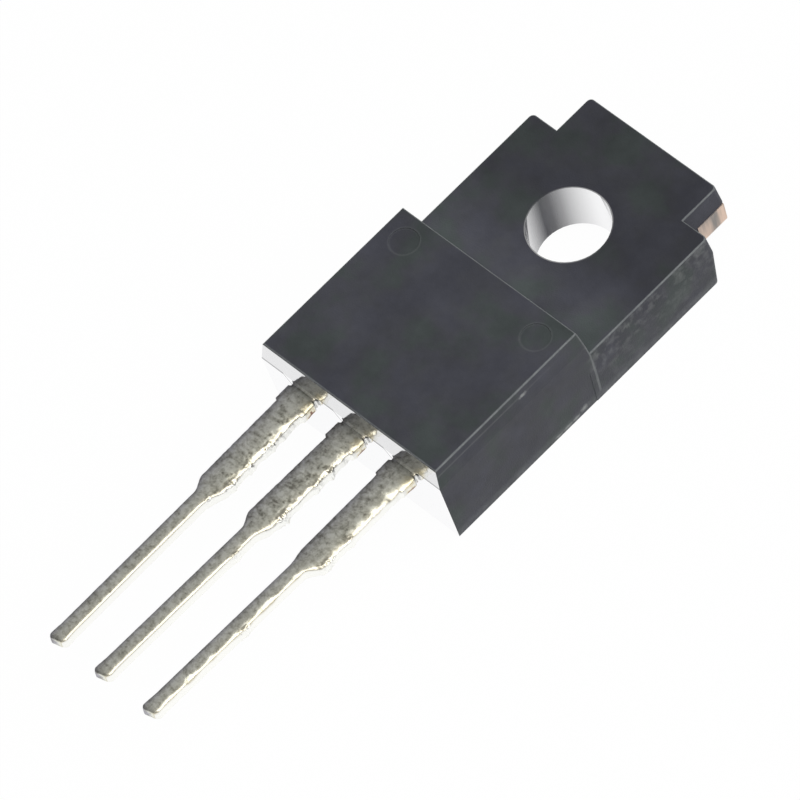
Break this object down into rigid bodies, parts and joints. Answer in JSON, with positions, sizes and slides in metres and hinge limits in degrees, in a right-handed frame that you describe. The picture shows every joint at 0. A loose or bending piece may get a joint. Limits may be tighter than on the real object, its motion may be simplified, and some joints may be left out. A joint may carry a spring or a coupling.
{
  "type": "transistor",
  "caption": "Power transistor in a fully moulded black epoxy case with a screw hole in its flange and a row of flat solder-dipped leads.",
  "frame": {"origin": "axis of the screw hole, on the back face", "axes": "+X across the case, +Y from the leads towards the screw tab, +Z out of the front face along the screw hole"},
  "size_m": [0.009, 0.0289, 0.0045],
  "materials": {
    "black_epoxy": "satin moulded",
    "copper_frame": "solder-dipped lead, bare sheared copper at the tie bars",
    "solder_dipped_lead": "lumpy dull solder dip",
    "silicon": "polished",
    "die_solder": "dull",
    "bond_wire": "bright"
  },
  "bodies": {
    "root": {"moulded_body": "black_epoxy", "collector_frame": "copper_frame", "base_lead": "solder_dipped_lead", "emitter_lead": "solder_dipped_lead", "silicon_die": "silicon", "die_solder": "die_solder", "base_bond_wire": "bond_wire", "emitter_bond_wire": "bond_wire"}
  },
  "joints": []
}
